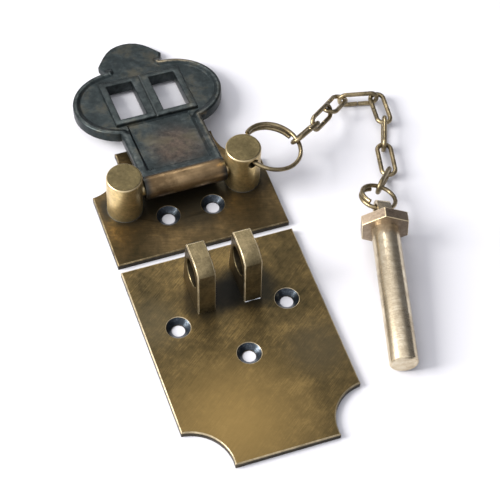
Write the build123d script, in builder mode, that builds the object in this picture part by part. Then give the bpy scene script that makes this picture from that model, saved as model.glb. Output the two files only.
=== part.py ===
from build123d import *
from math import asin, cos, degrees, radians, sin, sqrt
import os

# Hasp and staple set with a locking pin on a chain, lying open on a flat surface.
# Millimetres, +Z up. The origin is on the back plane of both plates, on the centre line,
# directly below the hinge axis. +Y points from the hinge to the tip of the open flap.

# Plates
plate_width = 65.0
plate_thickness = 2.5
plate_edge_chamfer = 0.35
hasp_front = -24.0
hasp_length = 49.2
staple_front = -27.0
staple_length = 86.7
scallop_radius = 15.2
scallop_side_offset = 1.5
scallop_end_offset = 2.0

# Countersunk holes for No. 8 wood screws
screw_radius = 2.4
screw_head_radius = 4.45
hasp_screw_x = 8.5
hasp_screw_y = -8.1
hidden_screw_y = 16.0
staple_screw_x = 20.2
staple_screw_y = -55.6
staple_centre_screw_y = -73.2

# Posts and hinge pin
post_x = 22.55
post_radius = 6.55
post_top = 20.8
post_edge_radius = 0.7
post_spigot_radius = 4.0
hinge_height = 11.4
hinge_pin_radius = 2.5
hinge_pin_length = 52.0
hinge_clearance = 0.04

# Flap, in its own plane: u runs across it and v runs from the hinge axis to the tip
flap_slope = 10.0
barrel_radius = 4.4
barrel_length = 31.0
flap_face = 4.0
flap_thickness = 4.4
frame_raise = 0.4
lobe_radius = 18.2
lobe_u = 10.3
lobe_v = 44.7
neck_length = 30.0
neck_recess_width = 24.0
neck_recess_start = 4.4
neck_recess_end = 24.5
neck_recess_depth = 1.0
window_u = 8.35
window_v = 44.25
window_width = 10.0
window_length = 19.9
window_border = 2.6
tip_v = 78.0
tab_root_u = 9.5
tab_waist = (10.6, 62.4)
tab_ear = (12.6, 68.0)
tab_corner = (9.6, 72.4)
tab_shoulder = (5.2, 76.7)
floor_gap = 0.05

# Staple lugs
lug_inner_x = 5.25
lug_thickness = 6.6
lug_back = -35.2
lug_front = -52.6
lug_top = 25.5
lug_back_corner = (-37.3, 24.6)
lug_top_back_y = -38.3
lug_top_front_y = -44.7
lug_brow_middle = (-48.1, 24.9)
lug_brow_end = (-50.7, 23.3)
lug_facet_end = (-51.4, 22.4)
lug_bore_y = -43.9
lug_bore_z = 16.2
lug_bore_radius = 5.3
lug_chamfer = 0.3

# Large ring through the right post
ring_hole_x = 24.4
ring_hole_z = 17.8
ring_hole_radius = 2.0
ring_wire_radius = 0.8
ring_radius = 10.6
ring_tilt = 12.0
ring_pitch = 2.2
ring_start = 28.0
ring_end = 498.0
ring_set_in = 1.0
ring_hook_angle = 4.0

# Chain: each link's heading from +X towards +Y, its slope, and its roll from upright
link_length = 16.0
link_width = 6.8
link_wire_radius = 0.85
link_play = 0.15
link_headings = (34.7, 40.8, 45.3, -12.3, -95.5, -111.8, -101.4, -130.2)
link_slopes = (-12.5, -17.5, -23.9, 0.0, 0.0, 0.0, 0.0, 22.9)
link_rolls = (-35.0, 30.0, 95.0, 5.0, 92.0, 2.0, 90.0, 4.0)

# Small ring between the chain and the pin
pin_ring_radius = 6.4
pin_ring_pitch = 1.75
pin_ring_slope = -20.0
pin_ring_hook_angle = 12.0
pin_ring_start = -260.0
pin_ring_end = 225.0

# Locking pin, lying on its collar and its tip
pin_heading = -104.0
pin_radius = 5.15
pin_length = 54.5
pin_tip_chamfer = 0.6
collar_corner_radius = 9.7
collar_thickness = 4.0
collar_roll = 3.8
spigot_radius = 3.6
eye_size = 5.2
eye_length = 8.2
eye_hole_offset = 5.2
eye_hole_radius = 1.7
eye_roll = 15.0

os.makedirs("parts", exist_ok=True)


def save(piece, name):
    """Label a finished piece and write it under its node's name."""
    piece.part.label = name
    export_step(piece.part, f"parts/{name}.step")


def direction(heading, slope=0.0):
    """Unit vector at a heading from +X towards +Y and a slope above the floor."""
    level = cos(radians(slope))
    return Vector(level * cos(radians(heading)), level * sin(radians(heading)), sin(radians(slope)))


# Both plates: a rectangle with two corners cut back by circular scallops.
def plate(front, length, scalloped_end, screws, bores):
    scallop_y = scalloped_end - scallop_end_offset * (1 if scalloped_end > front else -1)
    low, high = sorted((front, scalloped_end))
    with BuildPart() as blank:
        with BuildSketch():
            with Locations((0, (low + high) / 2)):
                Rectangle(plate_width, length)
            with GridLocations(plate_width + 2 * scallop_side_offset, 0, 2, 1):
                with Locations((0, scallop_y)):
                    Circle(scallop_radius, mode=Mode.SUBTRACT)
        extrude(amount=plate_thickness)
        chamfer(blank.faces().sort_by(Axis.Z)[-1].edges(), length=plate_edge_chamfer)
        with Locations(*[(x, y, plate_thickness) for x, y in screws]):
            CounterSinkHole(screw_radius, screw_head_radius, counter_sink_angle=90)
        if bores:
            with Locations(*[(x, y, plate_thickness) for x, y in bores]):
                Hole(post_spigot_radius)
    return blank


hasp_screws = [(-hasp_screw_x, hasp_screw_y), (hasp_screw_x, hasp_screw_y), (0, hidden_screw_y)]
post_places = [(-post_x, 0), (post_x, 0)]
hasp_plate = plate(hasp_front, hasp_length, hasp_front + hasp_length, hasp_screws, post_places)
save(hasp_plate, "hasp_plate")

staple_screws = [
    (-staple_screw_x, staple_screw_y),
    (staple_screw_x, staple_screw_y),
    (0, staple_centre_screw_y),
]
staple_plate = plate(staple_front, staple_length, staple_front - staple_length, staple_screws, [])
save(staple_plate, "staple_plate")


# Posts: turned studs riveted through the plate, blind-bored on the inside for the hinge pin.
def post(side):
    with BuildPart() as stud:
        with BuildSketch(Plane.XY.offset(plate_thickness)):
            with Locations((side * post_x, 0)):
                Circle(post_radius)
        extrude(amount=post_top - plate_thickness)
        fillet(stud.faces().sort_by(Axis.Z)[-1].edges(), radius=post_edge_radius)
        with BuildSketch():
            with Locations((side * post_x, 0)):
                Circle(post_spigot_radius)
        extrude(amount=plate_thickness)
        with BuildSketch(Plane.YZ):
            with Locations((0, hinge_height)):
                Circle(hinge_pin_radius)
        extrude(amount=side * hinge_pin_length / 2, mode=Mode.SUBTRACT)
        if side > 0:
            with BuildSketch(Plane.XZ.offset(-post_radius)):
                with Locations((ring_hole_x, ring_hole_z)):
                    Circle(ring_hole_radius)
            extrude(amount=2 * post_radius, mode=Mode.SUBTRACT)
    return stud


left_post = post(-1)
save(left_post, "left_post")
right_post = post(1)
save(right_post, "right_post")

with BuildPart() as hinge_pin:
    with BuildSketch(Plane.YZ.offset(-hinge_pin_length / 2)):
        with Locations((0, hinge_height)):
            Circle(hinge_pin_radius)
    extrude(amount=hinge_pin_length)
save(hinge_pin, "hinge_pin")


# Flap: two round lobes around the windows, a neck with the hinge barrel, and a spade tip.
def flap_plane(height):
    slope = radians(flap_slope)
    plane = Plane(origin=(0, 0, hinge_height), x_dir=(1, 0, 0), z_dir=(0, sin(slope), cos(slope)))
    return plane.offset(height)


with BuildPart() as hasp_flap:
    with BuildSketch(flap_plane(flap_face - flap_thickness)):
        with Locations((-lobe_u, lobe_v), (lobe_u, lobe_v)):
            Circle(lobe_radius)
        with Locations((0, neck_length / 2)):
            Rectangle(barrel_length, neck_length)
        with BuildLine():
            side = Polyline((0, lobe_v), (tab_root_u, lobe_v), tab_waist, tab_ear, tab_corner)
            ThreePointArc(side @ 1, tab_shoulder, (0, tip_v))
            mirror(about=Plane.YZ)
        make_face()
    extrude(amount=flap_thickness)
    with BuildSketch(flap_plane(flap_face)):
        with Locations((-window_u, window_v), (window_u, window_v)):
            Rectangle(window_width + window_border * 2, window_length + window_border * 2)
    extrude(amount=frame_raise)
    with BuildSketch(flap_plane(flap_face - flap_thickness)):
        with Locations((-window_u, window_v), (window_u, window_v)):
            Rectangle(window_width, window_length)
    extrude(amount=flap_thickness + frame_raise, mode=Mode.SUBTRACT)
    with BuildSketch(flap_plane(flap_face - neck_recess_depth)):
        with Locations((0, (neck_recess_start + neck_recess_end) / 2)):
            Rectangle(neck_recess_width, neck_recess_end - neck_recess_start)
    extrude(amount=neck_recess_depth, mode=Mode.SUBTRACT)
    with BuildSketch(Plane.YZ.offset(-barrel_length / 2)):
        with Locations((0, hinge_height)):
            Circle(barrel_radius)
    extrude(amount=barrel_length)
    with BuildSketch(Plane.YZ.offset(-barrel_length / 2)):
        with Locations((0, hinge_height)):
            Circle(hinge_pin_radius + hinge_clearance)
    extrude(amount=barrel_length, mode=Mode.SUBTRACT)
    split(bisect_by=Plane.XY.offset(floor_gap), keep=Keep.TOP)
save(hasp_flap, "hasp_flap")


# Staple lugs: a leaning back, a flat top that rounds over to a small facet, and a steep front.
def lug(outer_x):
    with BuildPart() as ear:
        with BuildSketch(Plane.YZ.offset(outer_x)):
            with BuildLine():
                back = Polyline((lug_front, plate_thickness), (lug_back, plate_thickness),
                                lug_back_corner, (lug_top_back_y, lug_top), (lug_top_front_y, lug_top))
                brow = ThreePointArc(back @ 1, lug_brow_middle, lug_brow_end)
                Polyline(brow @ 1, lug_facet_end, (lug_front, plate_thickness))
            make_face()
            with Locations((lug_bore_y, lug_bore_z)):
                Circle(lug_bore_radius, mode=Mode.SUBTRACT)
        extrude(amount=lug_thickness)
        cheeks = ear.faces().filter_by(Axis.X)
        outline = cheeks.edges().filter_by(lambda edge: edge.center().Z > plate_thickness + 1)
        chamfer(outline, length=lug_chamfer)
    return ear


left_staple_lug = lug(-lug_inner_x - lug_thickness)
save(left_staple_lug, "left_staple_lug")
right_staple_lug = lug(lug_inner_x)
save(right_staple_lug, "right_staple_lug")


def coil(plane, radius, pitch, start, end, level_angle, name):
    """An open coil of wire about the plane's normal, level with the plane at one angle."""
    lift = pitch * (start - level_angle) / 360
    turned = Plane(
        origin=plane.origin + plane.z_dir * lift,
        x_dir=plane.x_dir * cos(radians(start)) + plane.y_dir * sin(radians(start)),
        z_dir=plane.z_dir,
    )
    path = turned * Helix(pitch, pitch * (end - start) / 360, radius)
    with BuildPart() as ring:
        with BuildSketch(Plane(origin=path @ 0, z_dir=path % 0)):
            Circle(ring_wire_radius)
        sweep(path=path)
    save(ring, name)
    return ring


# Large ring: it passes through the right post once and slopes down to the chain.
ring_outward = direction(0, -ring_tilt)
ring_normal = ring_outward.cross(Vector(0, 1, 0))
ring_centre = Vector(ring_hole_x, 0, ring_hole_z) + ring_outward * (ring_radius - ring_set_in)
ring_plane = Plane(origin=ring_centre, x_dir=ring_outward, z_dir=ring_normal)
coil(ring_plane, ring_radius, ring_pitch, ring_start, ring_end, 180, "chain_ring")
ring_hook_radial = ring_plane.x_dir * cos(radians(ring_hook_angle)) + \
    ring_plane.y_dir * sin(radians(ring_hook_angle))
ring_hook_lift = ring_pitch * (180 + ring_hook_angle) / 360
ring_hook = ring_centre + ring_hook_radial * ring_radius + ring_normal * ring_hook_lift


# Chain links: each link is an oval of round wire that hooks inside the last one's far bend.
def link(place, name):
    bend = link_width / 2 - link_wire_radius
    straight = link_length - link_width
    with BuildPart() as oval:
        for side in (-1, 1):
            start = place.origin - place.x_dir * straight / 2 + place.y_dir * side * bend
            with BuildSketch(Plane(origin=start, x_dir=place.z_dir, z_dir=place.x_dir)):
                Circle(link_wire_radius)
            extrude(amount=straight)
            turn = place.origin + place.x_dir * side * straight / 2
            with BuildSketch(Plane(origin=turn + place.y_dir * bend, x_dir=place.z_dir, z_dir=place.x_dir)):
                Circle(link_wire_radius)
            revolve(axis=Axis(turn, place.z_dir * -side), revolution_arc=180)
    save(oval, name)
    return oval


def link_across(heading, slope, roll):
    side = direction(heading + 90)
    up = direction(heading, slope).cross(side)
    return up * cos(radians(roll)) + side * sin(radians(roll))


def pull(wire_a, wire_b, towards):
    """The line between two crossing wires, pointing the way the chain runs."""
    line = wire_a.cross(wire_b).normalized()
    return line if line.dot(towards) > 0 else line * -1


half_span = link_length / 2 - link_wire_radius
hold, hold_wire, hold_radius, hold_along = ring_hook, ring_hook_radial.cross(ring_normal), \
    ring_wire_radius, ring_hook_radial
chain = []
for heading, slope, roll in zip(link_headings, link_slopes, link_rolls):
    along = direction(heading, slope)
    across = link_across(heading, slope, roll)
    reach = hold_radius + link_wire_radius + link_play
    near = hold - pull(hold_wire, across, hold_along) * reach
    centre = near + along * half_span
    place = Plane(origin=centre, x_dir=along, z_dir=along.cross(across))
    chain.append((place, hold, hold_wire))
    link(place, f"chain_link_{len(chain)}")
    hold, hold_wire, hold_radius, hold_along = centre + along * half_span, across, link_wire_radius, along

# Locking pin axis: it slopes from the collar, which stands on a corner, down to the tip.
collar_height = collar_corner_radius * cos(radians(collar_roll)) + floor_gap
tip_height = pin_radius + floor_gap
pin_slope = -degrees(asin((collar_height - tip_height) / pin_length))
pin_along = direction(pin_heading, pin_slope)
pin_side = direction(pin_heading + 90)
pin_up = pin_side.cross(pin_along) * -1
eye_axis = pin_side * cos(radians(eye_roll)) - pin_up * sin(radians(eye_roll))

# Small ring: it turns about the eye's hole and hangs over the last link.
ring_back = pin_along * -1
ring_flat_normal = eye_axis.cross(ring_back)
pin_ring_far = ring_back * cos(radians(pin_ring_slope)) + ring_flat_normal * sin(radians(pin_ring_slope))
pin_ring_normal = eye_axis.cross(pin_ring_far)
hook_radial = pin_ring_far * cos(radians(pin_ring_hook_angle)) + \
    eye_axis * sin(radians(pin_ring_hook_angle))
hook_wire = hook_radial.cross(pin_ring_normal)
reach = link_wire_radius + ring_wire_radius + link_play
pin_ring_hook = hold - pull(hold_wire, hook_wire, hold_along) * reach
pin_ring_lift = pin_ring_pitch * (180 - pin_ring_hook_angle) / 360
pin_ring_centre = pin_ring_hook - hook_radial * pin_ring_radius - pin_ring_normal * pin_ring_lift
pin_ring_plane = Plane(origin=pin_ring_centre, x_dir=eye_axis, z_dir=pin_ring_normal)
coil(pin_ring_plane, pin_ring_radius, pin_ring_pitch, pin_ring_start, pin_ring_end, -90, "pin_ring")

# The wire bows across the eye's hole, so the hole's centre stands half of that bow inside it.
bow = pin_ring_radius - sqrt(pin_ring_radius**2 - (eye_size / 2)**2)
eye_centre = pin_ring_centre - pin_ring_far * (pin_ring_radius - bow / 2)
eye_to_collar = collar_thickness + eye_hole_offset
shoulder_centre = eye_centre + pin_along * eye_to_collar
shoulder_centre = Vector(shoulder_centre.X, shoulder_centre.Y, collar_height)
eye_centre = shoulder_centre - pin_along * eye_to_collar


def pin_section(distance):
    """Plane across the pin, a distance from its shoulder towards the tip."""
    return Plane(origin=shoulder_centre + pin_along * distance, x_dir=pin_side, z_dir=pin_along)


with BuildPart() as locking_pin:
    with BuildSketch(pin_section(0)):
        Circle(pin_radius)
    extrude(amount=pin_length)
    chamfer(locking_pin.edges().sort_by(Axis(shoulder_centre, pin_along))[-1], length=pin_tip_chamfer)
    with BuildSketch(pin_section(-collar_thickness)):
        Circle(spigot_radius)
    extrude(amount=collar_thickness)
    with BuildSketch(Plane(origin=eye_centre - eye_axis * eye_size / 2, x_dir=ring_back, z_dir=eye_axis)):
        with Locations(((eye_length - 2 * eye_hole_offset) / 2 - eye_size / 4, 0)):
            Rectangle(eye_length - eye_size / 2, eye_size)
        with Locations((eye_length - eye_hole_offset - eye_size / 2, 0)):
            Circle(eye_size / 2)
        Circle(eye_hole_radius, mode=Mode.SUBTRACT)
    extrude(amount=eye_size)
save(locking_pin, "locking_pin")

with BuildPart() as pin_collar:
    with BuildSketch(pin_section(-collar_thickness)):
        RegularPolygon(collar_corner_radius, 6, rotation=90 + collar_roll)
        Circle(spigot_radius, mode=Mode.SUBTRACT)
    extrude(amount=collar_thickness)
save(pin_collar, "pin_collar")
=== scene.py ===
import bmesh
import bpy
import math
import numpy as np
from mathutils import Matrix, Vector


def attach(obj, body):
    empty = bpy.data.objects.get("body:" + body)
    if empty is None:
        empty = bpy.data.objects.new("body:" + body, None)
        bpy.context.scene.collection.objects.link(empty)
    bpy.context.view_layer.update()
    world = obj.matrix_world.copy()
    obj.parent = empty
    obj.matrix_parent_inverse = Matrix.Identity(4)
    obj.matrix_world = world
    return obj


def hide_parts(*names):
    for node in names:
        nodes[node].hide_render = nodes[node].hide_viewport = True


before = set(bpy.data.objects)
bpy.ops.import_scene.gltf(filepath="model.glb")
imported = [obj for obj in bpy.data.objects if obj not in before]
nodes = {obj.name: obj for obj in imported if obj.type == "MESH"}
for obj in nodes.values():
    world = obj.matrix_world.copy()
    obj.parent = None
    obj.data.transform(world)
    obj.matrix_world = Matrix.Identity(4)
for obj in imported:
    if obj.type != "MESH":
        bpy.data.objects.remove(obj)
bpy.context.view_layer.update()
MM = 0.001

# ---------------------------------------------------------------- dimensions, mm
HINGE_HEIGHT = 11.4
FLAP_SLOPE = math.radians(10.0)
FLAP_FACE = 4.0
FLAP_BACK = -0.4
FRAME_TOP = 4.4
BACK_BEVEL = 0.35
UNDERSIDE_START = 4.2
NECK_FOOT = 9.0
WINDOW_V = 44.25
WINDOW_U = 8.35
WINDOW_HALF = (5.0, 9.95)
WINDOW_BORDER = 2.6
GROOVE_HALF = 0.45
GROOVE_DEPTH = 0.35
FRAME_ROUNDING = 0.38
LOBES = ((-10.3, 44.7), (10.3, 44.7))
LOBE_RADIUS = 18.2
NECK_HALF = 15.5
NECK_MEETS_LOBE = 27.27
TAB_HALF = ((9.5, 44.0), (10.6, 62.4), (12.6, 68.0), (9.6, 72.4), (7.6, 74.8), (5.2, 76.7), (2.7, 77.7),
            (0.0, 78.0))
BARREL_RADIUS = 4.4
BARREL_HALF = 15.5
BORE_RADIUS = 2.54
PLATE_TOP = 2.5
POSTS = ((-22.55, 0.0), (22.55, 0.0))
POST_RADIUS = 6.55
HASP_SCREWS = ((-8.5, -8.1), (8.5, -8.1), (0.0, 16.0))
STAPLE_SCREWS = ((-20.2, -55.6), (20.2, -55.6), (0.0, -73.2))
SINK_RADIUS = 4.45
LUG_X = 8.55
LUG_FRONT = -52.6
LUG_BORE = (-43.9, 16.2)
LUG_BORE_RADIUS = 5.3

# materials: how far the edge of a tinted patch wanders, in mm (the patches are stains, painted shade and painted
# highlights), and where the three tones of brass sit
PATCH_EDGE_WANDER = 2.5
RAMP_STOPS = (0.34, 0.52, 0.68)

# faces larger than this, in square mm, are shaded flat, so that their softened edges don't tint them
FLAT_AREA = 32.0

# material indices of a dressed piece
METAL, EDGE, SINK = 0, 1, 2


# ---------------------------------------------------------------- node helpers
class Shader:
    """A node tree with short helpers; every helper returns an output socket."""

    def __init__(self, name):
        self.material = bpy.data.materials.new(name)
        self.material.use_nodes = True
        self.tree = self.material.node_tree
        self.tree.nodes.clear()
        self.out = self.tree.nodes.new("ShaderNodeOutputMaterial")
        self.bsdf = self.tree.nodes.new("ShaderNodeBsdfPrincipled")
        self.tree.links.new(self.bsdf.outputs[0], self.out.inputs[0])
        self.coords = self.tree.nodes.new("ShaderNodeTexCoord").outputs["Object"]

    def put(self, socket, value):
        if isinstance(value, bpy.types.NodeSocket):
            self.tree.links.new(value, socket)
        else:
            socket.default_value = value

    def math(self, operation, a, b=0.0, clamp=False):
        node = self.tree.nodes.new("ShaderNodeMath")
        node.operation = operation
        node.use_clamp = clamp
        self.put(node.inputs[0], a)
        self.put(node.inputs[1], b)
        return node.outputs[0]

    def fade(self, value, low, high, to_low=0.0, to_high=1.0):
        node = self.tree.nodes.new("ShaderNodeMapRange")
        node.interpolation_type = "SMOOTHSTEP"
        self.put(node.inputs["Value"], value)
        for name, number in zip(("From Min", "From Max", "To Min", "To Max"), (low, high, to_low, to_high)):
            self.put(node.inputs[name], number)
        return node.outputs[0]

    def noise(self, scale, detail=5.0, rough=0.6, stretch=None, turn=0.0, distortion=0.0, shift=0.0):
        vector = self.coords
        if stretch or turn or shift:
            mapping = self.tree.nodes.new("ShaderNodeMapping")
            self.put(mapping.inputs["Vector"], vector)
            mapping.inputs["Location"].default_value = (shift, shift * 0.7, shift * 1.3)
            mapping.inputs["Rotation"].default_value = (0, 0, math.radians(turn))
            vector = mapping.outputs[0]
            if stretch:
                squeeze = self.tree.nodes.new("ShaderNodeVectorMath")
                squeeze.operation = "MULTIPLY"
                self.put(squeeze.inputs[0], vector)
                squeeze.inputs[1].default_value = stretch
                vector = squeeze.outputs[0]
        node = self.tree.nodes.new("ShaderNodeTexNoise")
        self.put(node.inputs["Vector"], vector)
        node.inputs["Scale"].default_value = scale
        node.inputs["Detail"].default_value = detail
        node.inputs["Roughness"].default_value = rough
        node.inputs["Distortion"].default_value = distortion
        return node.outputs["Fac"]

    def ramp(self, value, stops):
        node = self.tree.nodes.new("ShaderNodeValToRGB")
        self.put(node.inputs[0], value)
        elements = node.color_ramp.elements
        while len(elements) < len(stops):
            elements.new(0.5)
        for element, (place, colour) in zip(elements, stops):
            element.position = place
            element.color = (*colour, 1.0)
        return node.outputs[0]

    def mix(self, fraction, a, b, blend="MIX"):
        node = self.tree.nodes.new("ShaderNodeMix")
        node.data_type = "RGBA"
        node.blend_type = blend
        self.put(node.inputs[0], fraction)
        for socket, value in ((node.inputs[6], a), (node.inputs[7], b)):
            self.put(socket, value if isinstance(value, bpy.types.NodeSocket) else (*value, 1.0))
        return node.outputs[2]

    def away(self, point, flat=True):
        """Distance in mm from a point, across the plate only when flat."""
        node = self.tree.nodes.new("ShaderNodeVectorMath")
        node.operation = "DISTANCE"
        vector = self.coords
        if flat:
            level = self.tree.nodes.new("ShaderNodeVectorMath")
            level.operation = "MULTIPLY"
            self.put(level.inputs[0], vector)
            level.inputs[1].default_value = (1, 1, 0)
            vector = level.outputs[0]
        self.put(node.inputs[0], vector)
        node.inputs[1].default_value = tuple(c * MM for c in point)
        return self.math("MULTIPLY", node.outputs["Value"], 1000.0)

    def axis(self, index):
        node = self.tree.nodes.new("ShaderNodeSeparateXYZ")
        self.put(node.inputs[0], self.coords)
        return self.math("MULTIPLY", node.outputs[index], 1000.0)

    def attribute(self, name):
        node = self.tree.nodes.new("ShaderNodeAttribute")
        node.attribute_name = name
        return node.outputs["Fac"]

    def normal(self, index):
        geometry = self.tree.nodes.new("ShaderNodeNewGeometry")
        node = self.tree.nodes.new("ShaderNodeSeparateXYZ")
        self.put(node.inputs[0], geometry.outputs["Normal"])
        return node.outputs[index]

    def finish(self, colour, roughness, height=None, bump=0.2, distance=0.00005, metallic=1.0):
        self.put(self.bsdf.inputs["Base Color"], colour)
        self.put(self.bsdf.inputs["Roughness"], roughness)
        self.put(self.bsdf.inputs["Metallic"], metallic)
        if height is not None:
            node = self.tree.nodes.new("ShaderNodeBump")
            node.inputs["Strength"].default_value = bump
            node.inputs["Distance"].default_value = distance
            self.put(node.inputs["Height"], height)
            self.put(self.bsdf.inputs["Normal"], node.outputs[0])
        return self.material


def brass(name, dark, middle, light, rough=(0.34, 0.5), patch=55.0, brush=(35.0, 0.3), stains_and_painted_light=(),
          shift=0.0, metallic=0.9, band=None, bump=0.25, lines=(160.0, 5200.0, 5200.0), flank_light_and_shade=None,
          cheek_shade=None):
    """Aged brass.

    dark, middle, light: the tones of the patina; rough: roughness where bright and where dark.
    blots: (point in mm, inner mm, outer mm, colour, amount), soft round patches of stain, painted shade and
    painted highlight. band: the tone where a face rounds over.
    flank: the tone of upright faces, painted light and shade on their sides. cheek: the tone of faces along X,
    painted shade.
    brush: (angle, strength) of the brush marks. lines: how finely they vary along X, Y and Z.
    """
    s = Shader(name)
    clouds = s.noise(patch, 6.0, 0.62, shift=shift, distortion=0.4)
    spots = s.noise(patch * 7, 5.0, 0.7, shift=shift + 0.3)
    strokes = s.noise(1.0, 3.0, 0.6, stretch=lines, turn=brush[0], shift=shift)
    fine = s.noise(2.1, 2.0, 0.5, stretch=lines, turn=brush[0] + 7, shift=shift + 0.5)
    value = s.math("ADD", s.math("MULTIPLY", clouds, 0.62), s.math("MULTIPLY", spots, 0.38))
    value = s.math("ADD", value, s.math("MULTIPLY", s.math("SUBTRACT", strokes, 0.5), brush[1]))
    colour = s.ramp(value, list(zip(RAMP_STOPS, (dark, middle, light))))
    # each patch tints the brass: some are stains, others are painted shade and painted highlights
    for point, inner, outer, tint, amount in stains_and_painted_light:
        ragged = s.math("ADD", s.away(point), s.math("MULTIPLY", clouds, 2 * PATCH_EDGE_WANDER))
        near = s.fade(ragged, inner + PATCH_EDGE_WANDER, outer + PATCH_EDGE_WANDER, amount, 0.0)
        colour = s.mix(near, colour, tint)
    roughness = s.fade(value, 0.3, 0.7, rough[1], rough[0])
    # painted light and shade by facing: upright faces and faces along X take lighter and darker copies of the
    # brass tones
    for tone, facing, low, high, ends in ((flank_light_and_shade, 2, 0.15, 0.45, (0.95, 0.0)), (cheek_shade, 0, 0.6, 0.85, (0.0, 0.9))):
        if tone:
            share = s.fade(s.math("ABSOLUTE", s.normal(facing)), low, high, *ends)
            shades = [(place, tuple(c * gain for c in tone)) for place, gain in zip(RAMP_STOPS, (0.5, 1.0, 1.5))]
            colour = s.mix(share, colour, s.ramp(value, shades))
    if band:
        turned = s.math("ABSOLUTE", s.normal(2))
        rim = s.math("MULTIPLY", s.fade(turned, 0.12, 0.4), s.fade(turned, 0.8, 0.97, 1.0, 0.0))
        colour = s.mix(s.math("MULTIPLY", rim, 0.85), colour, band)
    scratches = s.math("ADD", s.math("MULTIPLY", strokes, 0.6), s.math("MULTIPLY", fine, 0.5))
    height = s.math("ADD", scratches, s.math("MULTIPLY", spots, 0.5))
    return s.finish(colour, roughness, height, bump, metallic=metallic)


# ---------------------------------------------------------------- materials
OLIVE = (0.038, 0.030, 0.013)
BROWN = (0.108, 0.076, 0.030)
GOLD = (0.25, 0.17, 0.062)
# near-black: the colour of the dark seams at the post feet, and painted shade with grime round the post feet
SOOT_AND_SHADE = (0.022, 0.022, 0.018)

# hasp plate: its upright sides take a darker tone, painted shade
hasp_metal = brass("hasp_plate_metal", OLIVE, (0.078, 0.053, 0.023), (0.17, 0.112, 0.044), shift=0.13,
                   brush=(14, 0.3), flank_light_and_shade=(0.035, 0.028, 0.016), stains_and_painted_light=(
    # painted shade with grime: dark rings round the feet of both posts
    ((*POSTS[0], 0), 7.0, 10.5, SOOT_AND_SHADE, 0.75),
    ((*POSTS[1], 0), 7.0, 11.5, SOOT_AND_SHADE, 0.8),
    # painted shade: a darker patch round the hinge, where the barrel shades the plate
    ((0, 0, 0), 12.0, 20.0, (0.05, 0.045, 0.03), 0.65),
))
# staple plate: its upright sides take a darker tone, painted shade
staple_metal = brass("staple_plate_metal", OLIVE, BROWN, GOLD, shift=0.42, brush=(-38, 0.45),
                     flank_light_and_shade=(0.035, 0.028, 0.016), bump=0.35, stains_and_painted_light=(
    # painted highlight: a broad golden glow over the lower left of the plate
    ((-13, -99, 0), 0.0, 40.0, (0.42, 0.275, 0.090), 0.55),
    ((24, -78, 0), 3.0, 17.0, (0.10, 0.08, 0.045), 0.5),
    # painted shade with grime: dark rings round both lug feet, and near-black between the lugs
    ((LUG_X, -46.5, 0), 6.5, 13.0, (0.020, 0.019, 0.014), 0.85),
    ((-LUG_X, -46.5, 0), 5.5, 11.5, (0.026, 0.022, 0.014), 0.75),
    ((0, -47, 0), 3.5, 10.0, (0.009, 0.009, 0.008), 0.85),
    ((-28, -52, 0), 3.0, 15.0, (0.10, 0.085, 0.05), 0.45),
))
plate_edge = brass("plate_edge_metal", (0.15, 0.12, 0.066), (0.35, 0.285, 0.175), (0.58, 0.49, 0.32),
                   rough=(0.3, 0.45), patch=120, shift=0.2, metallic=0.45)
hasp_edge = brass("hasp_edge_metal", (0.055, 0.042, 0.022), (0.17, 0.13, 0.068), (0.46, 0.37, 0.21),
                  rough=(0.32, 0.5), patch=75, shift=3.1, metallic=0.8)
sink_metal = brass("countersink_metal", (0.012, 0.016, 0.020), (0.035, 0.043, 0.052), (0.12, 0.14, 0.16),
                   rough=(0.26, 0.4), patch=300, shift=0.7, brush=(0, 0.1), lines=(160.0, 160.0, 5200.0))
# posts: their upright sides take a bright tone, a painted highlight, set against darker tops
post_metal = brass("post_metal", (0.055, 0.043, 0.019), (0.12, 0.095, 0.044), (0.23, 0.18, 0.085),
                   patch=90, shift=0.9, flank_light_and_shade=(0.66, 0.50, 0.235),
                   brush=(0, 0.14), rough=(0.3, 0.42), band=(0.62, 0.50, 0.29), lines=(160.0, 160.0, 4200.0))
# lugs: their faces along X take a darker tone, painted shade
lug_metal = brass("lug_metal", (0.075, 0.060, 0.030), (0.215, 0.17, 0.088), (0.38, 0.30, 0.16),
                  patch=110, shift=1.1, cheek_shade=(0.075, 0.054, 0.026), brush=(80, 0.2), rough=(0.3, 0.45))
chain_metal = brass("chain_metal", (0.07, 0.058, 0.035), (0.26, 0.205, 0.115), (0.52, 0.43, 0.26),
                    patch=170, shift=1.5, brush=(20, 0.12), rough=(0.25, 0.4))
pin_metal = brass("pin_metal", (0.28, 0.22, 0.14), (0.62, 0.52, 0.36), (0.88, 0.80, 0.62), patch=70, shift=1.9,
                  brush=(14, 0.3), rough=(0.18, 0.3), lines=(120.0, 4200.0, 120.0))
collar_metal = brass("collar_metal", (0.17, 0.13, 0.09), (0.34, 0.265, 0.19), (0.50, 0.40, 0.30),
                     patch=140, shift=2.3, brush=(0, 0.22), rough=(0.34, 0.5))
bright_edge = brass("bright_edge_metal", (0.42, 0.33, 0.18), (0.72, 0.60, 0.38), (0.90, 0.80, 0.58), patch=160,
                    shift=2.6, rough=(0.28, 0.42), metallic=0.6)
seam_metal = brass("seam_metal", SOOT_AND_SHADE, (0.03, 0.028, 0.02), (0.06, 0.055, 0.04),
                   patch=300, rough=(0.5, 0.7), metallic=0.4)
# painted shade: near-black brass on the walls inside the lugs' bores
bore_shade_metal = brass("bore_shade_metal", (0.018, 0.015, 0.009), (0.05, 0.038, 0.02), (0.10, 0.078, 0.042),
                   patch=200, shift=3.4, rough=(0.35, 0.5), brush=(0, 0.15))
solder_metal = brass("solder_metal", (0.35, 0.38, 0.42), (0.65, 0.68, 0.72), (0.9, 0.92, 0.95),
                     patch=400, rough=(0.18, 0.3))


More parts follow.
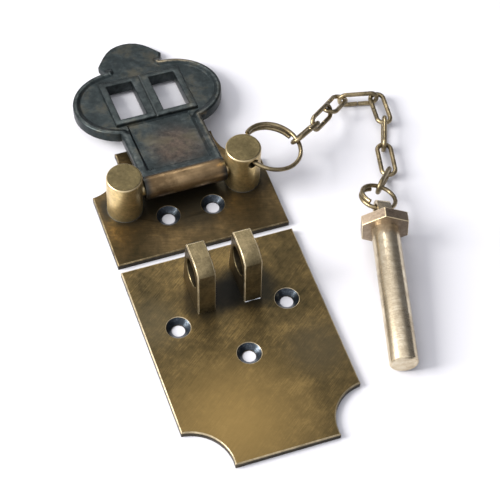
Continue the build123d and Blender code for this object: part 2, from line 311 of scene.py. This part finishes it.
def flap_material():
    """Blue-black patina, brown in the neck, rubbed to brass on the rims and the barrel."""
    s = Shader("flap_metal")
    clouds = s.noise(85.0, 6.0, 0.68, distortion=0.15)
    spots = s.noise(480.0, 5.0, 0.72, shift=0.4)
    strokes = s.noise(1.0, 3.0, 0.6, stretch=(260.0, 4200.0, 4200.0), turn=12, shift=0.2)
    value = s.math("ADD", s.math("MULTIPLY", clouds, 0.55), s.math("MULTIPLY", spots, 0.3))
    value = s.math("ADD", value, s.math("MULTIPLY", strokes, 0.15))
    colour = s.ramp(value, ((0.36, (0.007, 0.010, 0.010)), (0.5, (0.018, 0.025, 0.026)),
                            (0.66, (0.055, 0.067, 0.068))))
    neck = s.fade(s.math("ADD", s.away((2, 15.5, 0)), s.math("MULTIPLY", clouds, 6.0)), 6.0, 17.0, 0.62, 0.0)
    colour = s.mix(neck, colour, s.ramp(spots, ((0.35, (0.026, 0.018, 0.012)), (0.65, (0.10, 0.062, 0.040)))))
    earth = s.fade(clouds, 0.5, 0.66, 0.0, 0.55)
    colour = s.mix(earth, colour, (0.055, 0.045, 0.024))
    speckle = s.math("MULTIPLY", s.math("SUBTRACT", spots, 0.5), 1.3)
    rubbed = s.fade(s.math("ADD", s.attribute("rub"), speckle), 0.3, 0.85)
    colour = s.mix(rubbed, colour, s.ramp(clouds, ((0.4, (0.085, 0.066, 0.040)), (0.62, (0.25, 0.20, 0.12)))))
    # painted highlight: a lighter grey speckled along the rims
    soft = s.attribute("rim")
    colour = s.mix(s.math("MULTIPLY", soft, s.fade(spots, 0.35, 0.65, 0.05, 0.5)), colour, (0.088, 0.100, 0.096))
    height = s.math("ADD", s.math("MULTIPLY", spots, 0.8), s.math("MULTIPLY", strokes, 0.35))
    # painted highlight: a lighter line down the middle bar of the frame, where it dips
    groove_highlight = s.math("MULTIPLY", s.fade(s.math("ABSOLUTE", s.axis(0)), 0.15, 0.6, 1.0, 0.0), s.attribute("frame"))
    colour = s.mix(s.math("MULTIPLY", groove_highlight, 0.35), colour, (0.14, 0.155, 0.15))
    return s.finish(colour, s.fade(value, 0.35, 0.65, 0.44, 0.3), height, 0.35, 0.00007, metallic=0.8)


flap_metal = flap_material()


def barrel_material():
    s = Shader("barrel_metal")
    clouds = s.noise(60.0, 6.0, 0.6, shift=0.27, distortion=0.2)
    streaks = s.noise(1.0, 3.0, 0.55, stretch=(160.0, 1100.0, 1100.0))
    colour = s.ramp(s.math("ADD", s.math("MULTIPLY", clouds, 0.88), s.math("MULTIPLY", streaks, 0.12)),
                    ((0.36, (0.11, 0.072, 0.035)), (0.5, (0.30, 0.205, 0.105)), (0.68, (0.44, 0.315, 0.175))))
    # painted shade: the barrel's ends darken where they meet the posts
    ends = s.fade(s.math("ABSOLUTE", s.axis(0)), 12.2, 15.0, 0.0, 0.9)
    colour = s.mix(ends, colour, (0.035, 0.04, 0.04))
    back = s.fade(s.math("ADD", s.axis(1), s.math("MULTIPLY", clouds, 2.0)), 1.9, 3.4, 0.0, 0.95)
    colour = s.mix(back, colour, (0.04, 0.047, 0.047))
    # painted shade: the barrel darkens towards its bottom
    underside_shade = s.fade(s.axis(2), 8.5, 11.0, 0.8, 0.0)
    colour = s.mix(underside_shade, colour, (0.05, 0.04, 0.025))
    return s.finish(colour, s.fade(clouds, 0.35, 0.65, 0.4, 0.28), streaks, 0.1, 0.00005, metallic=0.9)


barrel_metal = barrel_material()


# ---------------------------------------------------------------- mesh helpers
def show(mesh, name, body, replaced=()):
    piece = bpy.data.objects.new(name, mesh)
    bpy.context.scene.collection.objects.link(piece)
    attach(piece, body)
    if replaced:
        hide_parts(*replaced)
    return piece


def smooth(mesh, angle):
    mesh.polygons.foreach_set("use_smooth", [True] * len(mesh.polygons))
    mesh.set_sharp_from_angle(angle=math.radians(angle))


def from_bore(face, bore):
    """How far a face's centre is, in mm, from a bore along X through the point (y, z)."""
    centre = face.calc_center_median() / MM
    return math.hypot(centre.y - bore[0], centre.z - bore[1])


def dress(node, body, metal, edge, bevel, segments=2, angle=38.0, sink=None, screws=(), bore=None):
    """A copy of the CAD node's surface with softened, bright edges in place of its knife-sharp ones.

    sink: the metal inside countersinks (screws: their centres) or inside a bore along X (bore: its centre).
    """
    mesh = nodes[node].data.copy()
    mesh.name = f"{node}_surface"
    mesh.materials.clear()
    for material in (metal, edge) + ((sink,) if sink else ()):
        mesh.materials.append(material)
    bm = bmesh.new()
    bm.from_mesh(mesh)
    bmesh.ops.remove_doubles(bm, verts=bm.verts, dist=2e-6)
    bmesh.ops.dissolve_limit(bm, angle_limit=math.radians(0.4), verts=bm.verts, edges=bm.edges)
    for face in bm.faces:
        face.material_index = METAL
    if screws:
        for face in bm.faces:
            centre = face.calc_center_median() / MM
            in_sink = any(math.hypot(centre.x - x, centre.y - y) < SINK_RADIUS + 0.02 for x, y in screws)
            if in_sink and abs(face.normal.z) < 0.95:
                face.material_index = SINK
            elif not in_sink and 0.5 < face.normal.z < 0.9:
                face.material_index = EDGE
    if bore:
        for face in bm.faces:
            if abs(face.normal.x) < 0.5 and from_bore(face, bore) < LUG_BORE_RADIUS + 0.05:
                face.material_index = SINK
    crisp = [e for e in bm.edges if len(e.link_faces) == 2 and e.calc_face_angle(0) > math.radians(angle)]
    bmesh.ops.bevel(bm, geom=crisp, offset=bevel * MM, segments=segments, profile=0.5, affect="EDGES",
                    clamp_overlap=True, material=EDGE, harden_normals=False)
    if screws:
        for face in bm.faces:
            if face.material_index == EDGE and face.calc_center_median().z < 0.8 * PLATE_TOP * MM:
                face.material_index = METAL
    if bore:
        for face in bm.faces:
            if face.material_index == EDGE and from_bore(face, bore) < LUG_BORE_RADIUS + 0.4:
                face.material_index = METAL
    bm.to_mesh(mesh)
    bm.free()
    smooth(mesh, 26.0)
    for polygon in mesh.polygons:
        if polygon.area > FLAT_AREA * MM * MM:
            polygon.use_smooth = False
    return show(mesh, f"{node}_piece", body, (node,))


def lathe(profile, origin, axis, name, steps=72):
    """A closed ring of (radius, distance) points turned about an axis; all in mm."""
    axis = Vector(axis).normalized()
    side = axis.orthogonal().normalized()
    up = axis.cross(side)
    count = len(profile)
    vertices = [Vector(origin) * MM + (axis * d + (side * math.cos(a) + up * math.sin(a)) * r) * MM
                for a in (2 * math.pi * i / steps for i in range(steps)) for r, d in profile]
    faces = [(i * count + j, ((i + 1) % steps) * count + j, ((i + 1) % steps) * count + (j + 1) % count,
              i * count + (j + 1) % count) for i in range(steps) for j in range(count)]
    mesh = bpy.data.meshes.new(name)
    mesh.from_pydata(vertices, [], faces)
    bm = bmesh.new()
    bm.from_mesh(mesh)
    bmesh.ops.recalc_face_normals(bm, faces=bm.faces)
    bm.to_mesh(mesh)
    bm.free()
    return mesh


# ---------------------------------------------------------------- flap
def soft_step(x, low, high):
    t = np.clip((x - low) / (high - low), 0, 1)
    return t * t * (3 - 2 * t)


def exit_distance(angles, polygon):
    """How far each ray from the windows' centre goes before it leaves a star-shaped polygon."""
    points = np.array(polygon, float) - (0, WINDOW_V)
    far = np.zeros_like(angles)
    direction = np.stack([np.cos(angles), np.sin(angles)], 1)
    for a, b in zip(points, np.roll(points, -1, axis=0)):
        edge = b - a
        cross = direction[:, 0] * edge[1] - direction[:, 1] * edge[0]
        safe = np.where(abs(cross) < 1e-9, 1e-9, cross)
        t = (a[0] * edge[1] - a[1] * edge[0]) / safe
        s = (a[0] * direction[:, 1] - a[1] * direction[:, 0]) / safe
        hit = (t > 0) & (s >= -1e-6) & (s <= 1 + 1e-6) & (abs(cross) > 1e-9)
        far = np.where(hit, np.maximum(far, t), far)
    return far


def flap_place(u, v, n):
    y = v * math.cos(FLAP_SLOPE) + n * math.sin(FLAP_SLOPE)
    z = HINGE_HEIGHT - v * math.sin(FLAP_SLOPE) + n * math.cos(FLAP_SLOPE)
    return np.stack([u, y, np.maximum(z, 0.06)], -1) * MM


def clear_of_pin(v):
    """Draws the underside back to the barrel's wall, so that it stays out of the barrel's bore."""
    return np.where(v < NECK_FOOT, UNDERSIDE_START + v * (NECK_FOOT - UNDERSIDE_START) / NECK_FOOT, v)


def flap_body():
    tab = list(TAB_HALF) + [(-u, v) for u, v in reversed(TAB_HALF)]
    neck = [(-NECK_HALF, 0), (NECK_HALF, 0), (NECK_HALF, 46), (-NECK_HALF, 46)]
    half_u = WINDOW_U + WINDOW_HALF[0] + WINDOW_BORDER - 0.5
    half_v = WINDOW_HALF[1] + WINDOW_BORDER - 0.5
    inner = [(half_u, WINDOW_V + half_v), (-half_u, WINDOW_V + half_v),
             (-half_u, WINDOW_V - half_v), (half_u, WINDOW_V - half_v)]
    corners = [math.atan2(v - WINDOW_V, u) for u, v in tab + neck[:2] + inner]
    corners += [math.atan2(NECK_MEETS_LOBE - WINDOW_V, u) for u in (-NECK_HALF, NECK_HALF)]
    angles = np.unique(np.round(np.concatenate([np.linspace(-math.pi, math.pi, 721)[:-1], corners]), 7))
    cosine, sine = np.cos(angles), np.sin(angles)
    outer = np.maximum(exit_distance(angles, tab), exit_distance(angles, neck))
    for cu, cv in LOBES:
        along = cosine * cu + sine * (cv - WINDOW_V)
        gap = along ** 2 - (cu ** 2 + (cv - WINDOW_V) ** 2) + LOBE_RADIUS ** 2
        outer = np.maximum(outer, along + np.sqrt(np.maximum(gap, 0)))
    start = exit_distance(angles, inner)
    outline = np.stack([outer * cosine, outer * sine + WINDOW_V], 1)

    insets = np.array([0.0, 0.1, 0.25, 0.45, 0.7, 1.0, 1.4, 1.8, 2.3, 2.8])
    share = np.linspace(0, 1, 96)
    radii = [start + (outer - insets[-1] - 0.4 - start) * s for s in share]
    radii += [outer - inset for inset in insets[::-1]]
    radii = np.array(radii)
    u, v = radii * cosine, radii * sine + WINDOW_V

    edge = np.empty_like(u)
    ends = np.roll(outline, -1, axis=0)
    run = ends - outline
    length = np.maximum((run ** 2).sum(1), 1e-9)
    for i in range(u.shape[0]):
        points = np.stack([u[i], v[i]], 1)[:, None, :] - outline[None]
        t = np.clip((points * run[None]).sum(2) / length, 0, 1)
        edge[i] = np.sqrt(((points - t[..., None] * run[None]) ** 2).sum(2)).min(1)

    on_tab = soft_step(v, 62.6, 65.0)
    lobe = 0.62 * np.maximum(soft_step(edge, 1.3, 3.0), on_tab) * soft_step(v, 25.5, 28.5)
    neck_depth = 1.05 * soft_step(12.6 - abs(u), 0, 1.0) * soft_step(v, 4.3, 5.3) * soft_step(31.5 - v, 0, 0.8)
    ripple = 0.018 * np.sin(u * 0.9 + 1.3 * np.sin(v * 0.31)) * np.sin(v * 0.7 + 0.8 * np.sin(u * 0.43))
    rounding = np.where(edge < 0.9, 0.9 - np.sqrt(np.maximum(0.81 - (0.9 - edge) ** 2, 0)), 0)
    height = FLAP_FACE - np.maximum(lobe, neck_depth) + ripple * soft_step(edge, 0.5, 3) - 0.75 * rounding
    rim = soft_step(edge, 0.0, 0.5) * (1 - soft_step(edge, 1.2, 2.4)) * (1 - 0.7 * on_tab)
    right_rim = rim * soft_step(u, 2.0, 9.0) * soft_step(v, 54, 60) * (1 - soft_step(v, 62.8, 63.8))
    neck_rim = soft_step(u, 13.4, 14.4) * (1 - soft_step(v, 27, 32)) * soft_step(v, 4, 9)
    left_rim = rim * soft_step(-u, 11, 14) * 0.25
    rub = np.maximum.reduce([right_rim * 0.85, neck_rim * 0.6, left_rim, 0.12 * rim])

    rows, count = u.shape
    vertices = flap_place(u, v, height).reshape(-1, 3)
    low_outer = flap_place(outline[:, 0], clear_of_pin(outline[:, 1]), np.full(count, FLAP_BACK + BACK_BEVEL))
    tuck = outer - BACK_BEVEL
    low_tuck = flap_place(tuck * cosine, clear_of_pin(tuck * sine + WINDOW_V), np.full(count, FLAP_BACK))
    low_inner = flap_place(start * cosine, start * sine + WINDOW_V, np.full(count, FLAP_BACK))
    vertices = np.concatenate([vertices, low_outer, low_tuck, low_inner])
    total = rows + 3
    faces = []
    for j in range(total):
        k = (j + 1) % total
        faces += [(j * count + i, k * count + i, k * count + (i + 1) % count, j * count + (i + 1) % count)
                  for i in range(count)]
    mesh = bpy.data.meshes.new("flap_body_surface")
    mesh.from_pydata(vertices.tolist(), [], faces)
    for name, values in (("rub", rub), ("rim", rim)):
        layer = mesh.attributes.new(name, "FLOAT", "POINT")
        layer.data.foreach_set("value", np.concatenate([values.ravel(), np.zeros(3 * count)]).astype(np.float32))
    bm = bmesh.new()
    bm.from_mesh(mesh)
    bmesh.ops.recalc_face_normals(bm, faces=bm.faces)
    bm.to_mesh(mesh)
    bm.free()
    mesh.materials.append(flap_metal)
    smooth(mesh, 40.0)
    return show(mesh, "flap_body", "flap", ("hasp_flap",))


def flap_frame():
    """The raised border round both windows, with the windows' walls."""
    hu, hv = WINDOW_HALF
    us = [-WINDOW_U - hu - WINDOW_BORDER, -WINDOW_U - hu, -WINDOW_U + hu,
          WINDOW_U - hu, WINDOW_U + hu, WINDOW_U + hu + WINDOW_BORDER]
    vs = [WINDOW_V - hv - WINDOW_BORDER, WINDOW_V - hv, WINDOW_V + hv, WINDOW_V + hv + WINDOW_BORDER]
    bm = bmesh.new()
    levels = []
    for n in (FLAP_BACK, FRAME_TOP):
        levels.append([[bm.verts.new(flap_place(np.float64(u), np.float64(v), np.float64(n)))
                        for v in vs] for u in us])
    open_cells = {(1, 1), (3, 1)}
    solid = [(i, j) for i in range(len(us) - 1) for j in range(len(vs) - 1) if (i, j) not in open_cells]
    for i, j in solid:
        for level, flip in ((levels[1], False), (levels[0], True)):
            loop = [level[i][j], level[i + 1][j], level[i + 1][j + 1], level[i][j + 1]]
            bm.faces.new(loop[::-1] if flip else loop)
        for (di, dj), (a, b) in (((-1, 0), ((i, j + 1), (i, j))), ((1, 0), ((i + 1, j), (i + 1, j + 1))),
                                 ((0, -1), ((i, j), (i + 1, j))), ((0, 1), ((i + 1, j + 1), (i, j + 1)))):
            if (i + di, j + dj) not in solid:
                bm.faces.new([levels[0][a[0]][a[1]], levels[0][b[0]][b[1]],
                              levels[1][b[0]][b[1]], levels[1][a[0]][a[1]]])
    bmesh.ops.recalc_face_normals(bm, faces=bm.faces)
    sharp = [e for e in bm.edges if e.calc_face_angle(0) > 1.0]
    bmesh.ops.bevel(bm, geom=sharp, offset=FRAME_ROUNDING * MM, segments=4, profile=0.5, affect="EDGES",
                    clamp_overlap=True)
    for cut in (-GROOVE_HALF, 0.0, GROOVE_HALF):
        bmesh.ops.bisect_plane(bm, geom=bm.verts[:] + bm.edges[:] + bm.faces[:], plane_co=(cut * MM, 0, 0),
                               plane_no=(1, 0, 0), dist=1e-8)
    upright = Vector((0, math.sin(FLAP_SLOPE), math.cos(FLAP_SLOPE)))
    floor_level = FRAME_TOP - GROOVE_DEPTH
    for vert in bm.verts:
        level = (vert.co - Vector((0, 0, HINGE_HEIGHT * MM))).dot(upright) / MM
        if abs(vert.co.x) < 1e-7 and level > floor_level:
            vert.co -= upright * (level - floor_level) * MM
    mesh = bpy.data.meshes.new("flap_frame_surface")
    bm.to_mesh(mesh)
    bm.free()
    for name, value in (("rim", 0.55), ("frame", 1.0)):
        layer = mesh.attributes.new(name, "FLOAT", "POINT")
        layer.data.foreach_set("value", [value] * len(mesh.vertices))
    mesh.materials.append(flap_metal)
    smooth(mesh, 32.0)
    return show(mesh, "flap_frame", "flap", ())


flap_body()
flap_frame()
soft = 0.35
shoulder = soft * 0.3
barrel = lathe([(BORE_RADIUS, -BARREL_HALF), (BARREL_RADIUS - soft, -BARREL_HALF),
                (BARREL_RADIUS - shoulder, -BARREL_HALF + shoulder), (BARREL_RADIUS, -BARREL_HALF + soft),
                (BARREL_RADIUS, BARREL_HALF - soft), (BARREL_RADIUS - shoulder, BARREL_HALF - shoulder),
                (BARREL_RADIUS - soft, BARREL_HALF), (BORE_RADIUS, BARREL_HALF)],
               (0, 0, HINGE_HEIGHT), (1, 0, 0), "barrel_surface", 96)
barrel.materials.append(barrel_metal)
smooth(barrel, 50.0)
show(barrel, "flap_barrel", "flap", ())

# ---------------------------------------------------------------- plates, posts, lugs, pin
dress("hasp_plate", "hasp", hasp_metal, hasp_edge, 0.1,
      sink=sink_metal, screws=HASP_SCREWS)
dress("staple_plate", "staple", staple_metal, plate_edge, 0.1,
      sink=sink_metal, screws=STAPLE_SCREWS)
for side in ("left", "right"):
    dress(f"{side}_post", "hasp", post_metal, bright_edge, 0.12, segments=2, angle=50)
    dress(f"{side}_staple_lug", "staple", lug_metal, bright_edge, 0.11,
          sink=bore_shade_metal, bore=LUG_BORE)
dress("locking_pin", "pin", pin_metal, bright_edge, 0.22, segments=3, angle=35)
dress("pin_collar", "pin", collar_metal, bright_edge, 0.2, segments=3)
dress("chain_ring", "large_ring", chain_metal, chain_metal, 0.2, segments=3, angle=60)
dress("pin_ring", "small_ring", chain_metal, chain_metal, 0.2, segments=3, angle=60)
dress("hinge_pin", "hasp", post_metal, bright_edge, 0.15)


# ---------------------------------------------------------------- chain links
def link_axes(node):
    """A link's centre, its long axis and its cross axis, read from its CAD surface."""
    points = np.array([v.co for v in nodes[node].data.vertices], float)
    centre = (points.max(0) + points.min(0)) / 2
    for _ in range(3):
        values, vectors = np.linalg.eigh(np.cov((points - centre).T))
        spans = (points - centre) @ vectors
        centre = centre + vectors @ ((spans.max(0) + spans.min(0)) / 2)
    order = np.argsort(np.ptp(spans, axis=0))
    return Vector(centre), Vector(vectors[:, order[2]]), Vector(vectors[:, order[1]])


def bent_link(node, body, number):
    """An oval of round wire with a butt seam half way along one side."""
    centre, along, across = link_axes(node)
    normal = along.cross(across)
    wire, half_bend, half_straight = 0.85, 2.55, 4.6
    path = []
    gap = 0.11
    path += [(gap, half_bend), (gap + 0.12, half_bend)]
    path += [(half_straight * s, half_bend) for s in (0.25, 0.5, 0.75, 1.0)]
    turns = np.linspace(0, math.pi, 25)[1:-1]
    path += [(half_straight + half_bend * math.sin(a), half_bend * math.cos(a)) for a in turns]
    path += [(half_straight * s, -half_bend) for s in (1.0, 0.5, 0.0, -0.5, -1.0)]
    path += [(-half_straight - half_bend * math.sin(a), -half_bend * math.cos(a)) for a in turns]
    path += [(-half_straight * s, half_bend) for s in (1.0, 0.75, 0.5, 0.25)]
    path += [(-gap - 0.12, half_bend), (-gap, half_bend)]
    points = [Vector((x, y, 0)) for x, y in path]
    steps, vertices, faces = 20, [], []
    side = 1 if number % 2 else -1
    for i, point in enumerate(points):
        ahead = points[min(i + 1, len(points) - 1)] - points[max(i - 1, 0)]
        out = Vector((ahead.y, -ahead.x, 0)).normalized()
        radius = wire - 0.14 if i in (0, len(points) - 1) else wire
        for k in range(steps):
            a = 2 * math.pi * k / steps
            local = point + out * radius * math.cos(a) + Vector((0, 0, 1)) * radius * math.sin(a)
            vertices.append(centre + (along * local.x + across * local.y * side + normal * local.z) * MM)
    last = len(points) - 1
    for i in range(last):
        faces += [(i * steps + k, (i + 1) * steps + k,
                   (i + 1) * steps + (k + 1) % steps, i * steps + (k + 1) % steps) for k in range(steps)]
    faces += [tuple(range(steps)), tuple(last * steps + k for k in range(steps))]
    mesh = bpy.data.meshes.new(f"{node}_surface")
    mesh.from_pydata(vertices, [], faces)
    bm = bmesh.new()
    bm.from_mesh(mesh)
    bmesh.ops.recalc_face_normals(bm, faces=bm.faces)
    bm.to_mesh(mesh)
    bm.free()
    mesh.materials.append(chain_metal)
    smooth(mesh, 35.0)
    return show(mesh, f"{node}_piece", body, (node,))


for number in range(1, 9):
    bent_link(f"chain_link_{number}", f"link_{number}", number)

# ---------------------------------------------------------------- seams and solder
for x, y in POSTS:
    seam = lathe([(POST_RADIUS - 0.1, PLATE_TOP - 0.1), (POST_RADIUS + 0.28, PLATE_TOP - 0.1),
                  (POST_RADIUS + 0.2, PLATE_TOP + 0.03), (POST_RADIUS - 0.1, PLATE_TOP + 0.12)],
                 (x, y, 0), (0, 0, 1), f"post_seam_{'left' if x < 0 else 'right'}", 96)
    seam.materials.append(seam_metal)
    smooth(seam, 60.0)
    show(seam, seam.name + "_piece", "hasp")


def solder_bead(centre_x):
    """A thin run of solder along a lug's front foot."""
    half, rings, steps = 3.1, 25, 10
    vertices, faces = [], []
    for i in range(rings):
        t = i / (rings - 1)
        x = centre_x + half * (2 * t - 1)
        blob = 0.12 * math.exp(-((t - 0.93) / 0.06) ** 2)
        size = (0.16 + 0.08 * math.sin(9 * t) + blob) * min(1, 12 * t * (1 - t) + 0.2)
        for k in range(steps):
            a = 2 * math.pi * k / steps
            y, z = LUG_FRONT + 0.02 + size * math.cos(a), PLATE_TOP + 0.03 + size * math.sin(a)
            vertices.append(Vector((x, y, z)) * MM)
    for i in range(rings - 1):
        faces += [(i * steps + k, i * steps + (k + 1) % steps,
                   (i + 1) * steps + (k + 1) % steps, (i + 1) * steps + k) for k in range(steps)]
    faces += [tuple(range(steps))[::-1], tuple((rings - 1) * steps + k for k in range(steps))]
    mesh = bpy.data.meshes.new("solder_bead_surface")
    mesh.from_pydata(vertices, [], faces)
    mesh.materials.append(solder_metal)
    smooth(mesh, 60.0)
    return show(mesh, "solder_bead", "staple")


solder_bead(LUG_X)

# ---------------------------------------------------------------- floor, light, camera
floor_shader = Shader("floor_paper")
grain = floor_shader.noise(900.0, 3.0, 0.5)
floor_tint = floor_shader.ramp(floor_shader.noise(6.0, 2.0, 0.5),
                               ((0.3, (0.605, 0.605, 0.63)), (0.7, (0.625, 0.625, 0.65))))
floor_material = floor_shader.finish(floor_tint, 0.95, grain, 0.04, 0.00003, metallic=0.0)
floor_mesh = bpy.data.meshes.new("floor_sheet")
reach = 3.0
corners = [(-reach, -reach, 0), (reach, -reach, 0), (reach, reach, 0), (-reach, reach, 0)]
floor_mesh.from_pydata(corners, [], [(0, 1, 2, 3)])
floor_mesh.materials.append(floor_material)
floor = bpy.data.objects.new("floor", floor_mesh)
bpy.context.scene.collection.objects.link(floor)


def area_light(name, place, target, size, power, colour):
    data = bpy.data.lights.new(name, "AREA")
    data.shape = "RECTANGLE"
    data.size, data.size_y = size
    data.energy = power
    data.color = colour
    lamp = bpy.data.objects.new(name, data)
    lamp.location = place
    lamp.rotation_euler = (Vector(target) - Vector(place)).to_track_quat("-Z", "Y").to_euler()
    bpy.context.scene.collection.objects.link(lamp)
    return lamp


area_light("window_light", (-0.80, 0.10, 0.55), (0.0, -0.02, 0.0), (0.45, 0.6), 18.0, (1.0, 0.98, 0.96))
area_light("back_light", (0.10, 0.85, 0.75), (0.0, -0.03, 0.0), (0.5, 0.25), 3.0, (1.0, 0.98, 0.97))

bpy.context.scene.view_settings.view_transform = "Standard"
world = bpy.data.worlds.new("studio")
world.use_nodes = True
bpy.context.scene.world = world
tree = world.node_tree
tree.nodes.clear()
world_out = tree.nodes.new("ShaderNodeOutputWorld")
sky = tree.nodes.new("ShaderNodeBackground")
coords = tree.nodes.new("ShaderNodeTexCoord")
towards_light = tree.nodes.new("ShaderNodeVectorMath")
towards_light.operation = "DOT_PRODUCT"
towards_light.inputs[1].default_value = Vector((-0.55, -0.20, 0.81)).normalized()
shade = tree.nodes.new("ShaderNodeValToRGB")
tree.links.new(coords.outputs["Generated"], towards_light.inputs[0])
tree.links.new(towards_light.outputs["Value"], shade.inputs[0])
shade.color_ramp.elements[0].position = 0.15
shade.color_ramp.elements[0].color = (0.10, 0.105, 0.13, 1)
shade.color_ramp.elements[1].position = 0.95
shade.color_ramp.elements[1].color = (1.5, 1.5, 1.58, 1)
tree.links.new(shade.outputs[0], sky.inputs[0])
sky.inputs[1].default_value = 1.0
tree.links.new(sky.outputs[0], world_out.inputs[0])

camera_place = Vector((-0.14143, -0.42080, 0.58853))
camera_target = Vector((0.01400, -0.03344, 0.005))
camera_roll = math.radians(-3.277)
lens = bpy.data.cameras.new("camera")
lens.lens = 144.0
lens.sensor_width = 36.0
lens.clip_start = 0.01
camera = bpy.data.objects.new("camera", lens)
camera.location = camera_place
aim = (camera_target - camera_place).to_track_quat("-Z", "Y").to_matrix().to_4x4()
camera.rotation_euler = (aim @ Matrix.Rotation(-camera_roll, 4, "Z")).to_euler()
bpy.context.scene.collection.objects.link(camera)
bpy.context.scene.camera = camera
